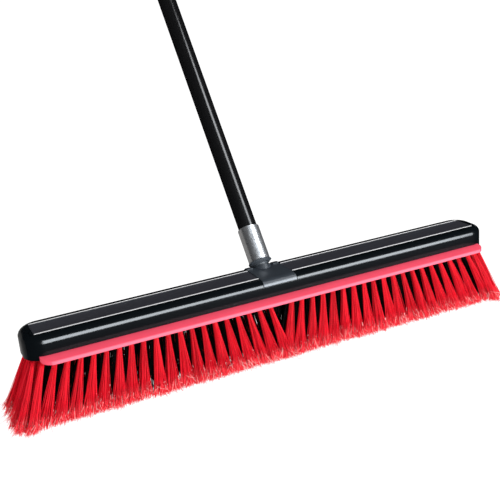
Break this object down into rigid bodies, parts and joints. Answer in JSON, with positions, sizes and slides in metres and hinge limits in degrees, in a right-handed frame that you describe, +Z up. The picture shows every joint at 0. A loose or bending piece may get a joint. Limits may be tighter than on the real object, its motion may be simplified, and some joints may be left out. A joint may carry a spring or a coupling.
{
  "type": "push broom",
  "caption": "Wide push broom with a black moulded head, a red bumper lip, red and black bristles and a long black screw-in handle.",
  "frame": {"origin": "on the floor, under the middle of the head, where the bristle tips touch it", "axes": "+X along the head, -Y towards the red bumper lip, +Z up; the handle leans 37 degrees from +Z towards +Y"},
  "size_m": [0.668, 0.9774, 1.3028],
  "materials": {
    "cover_black": "gloss",
    "base_red": "satin",
    "hub_grey": "satin",
    "bristle_red": "satin",
    "bristle_black": "matte",
    "tube_black": "gloss",
    "zinc_steel": "satin",
    "collar_grey": "satin",
    "screw_steel": "satin",
    "cap_black": "satin"
  },
  "bodies": {
    "head": {"block_cover": "cover_black", "brush_base": "base_red", "hub_saddle": "hub_grey", "cover_screw_1": "screw_steel", "cover_screw_2": "screw_steel", "cover_screw_3": "screw_steel", "cover_screw_4": "screw_steel", "cover_screw_5": "screw_steel", "cover_screw_6": "screw_steel", "hub_screw_left": "screw_steel", "hub_screw_right": "screw_steel", "bristles_middle_rows": "bristle_black", "bristles_inner_front_row": "bristle_black", "bristles_inner_rear_row": "bristle_black", "bristles_front_row_left": "bristle_red", "bristles_front_row_right": "bristle_red", "bristles_rear_row_left": "bristle_red", "bristles_rear_row_right": "bristle_red", "bristles_end_left": "bristle_red", "bristles_end_right": "bristle_red"},
    "screw_carrier": {"threaded_end": "collar_grey"},
    "handle": {"ferrule": "zinc_steel", "handle_tube": "tube_black", "handle_end_cap": "cap_black"}
  },
  "joints": [
    {"name": "handle_advance", "type": "slide", "parent": "head", "child": "screw_carrier", "axis": [0, 0.6018, 0.7986], "range_m": [0, 0.01524]},
    {"name": "handle_turn", "type": "hinge", "parent": "screw_carrier", "child": "handle", "pos_m": [0, 0.0234, 0.102], "axis": [0, 0.6018, 0.7986], "range_deg": [0, 1080]}
  ],
  "couplings": [
    {"joint": "handle_turn", "follows": "handle_advance", "rad_per_m": 1236.8}
  ]
}
